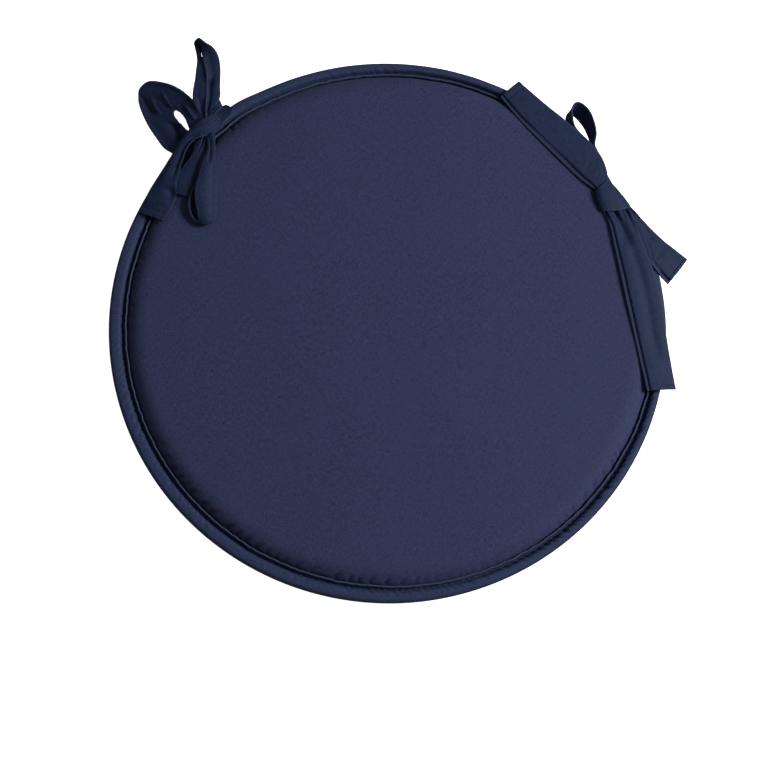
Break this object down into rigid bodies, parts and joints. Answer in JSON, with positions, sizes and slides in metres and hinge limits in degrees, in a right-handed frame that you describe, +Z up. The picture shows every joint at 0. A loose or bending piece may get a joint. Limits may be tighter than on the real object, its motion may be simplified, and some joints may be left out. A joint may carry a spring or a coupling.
{
  "type": "round chair cushion",
  "caption": "Thin round navy seat pad with a bound and topstitched edge and a fabric tie knotted in a bow at each back corner.",
  "frame": {"origin": "centre of the pad's flat underside, on the surface that it rests on", "axes": "+Z up out of the cushion's face, +Y towards the back edge between the two bows, +X to the right seen from the front"},
  "size_m": [0.3128, 0.3115, 0.0201],
  "materials": {
    "face_cloth": "matte",
    "binding_cloth": "matte",
    "tie_cloth": "matte"
  },
  "bodies": {
    "root": {"pad": "face_cloth", "binding": "binding_cloth", "tie_right": "tie_cloth", "tie_left": "tie_cloth"}
  },
  "joints": []
}
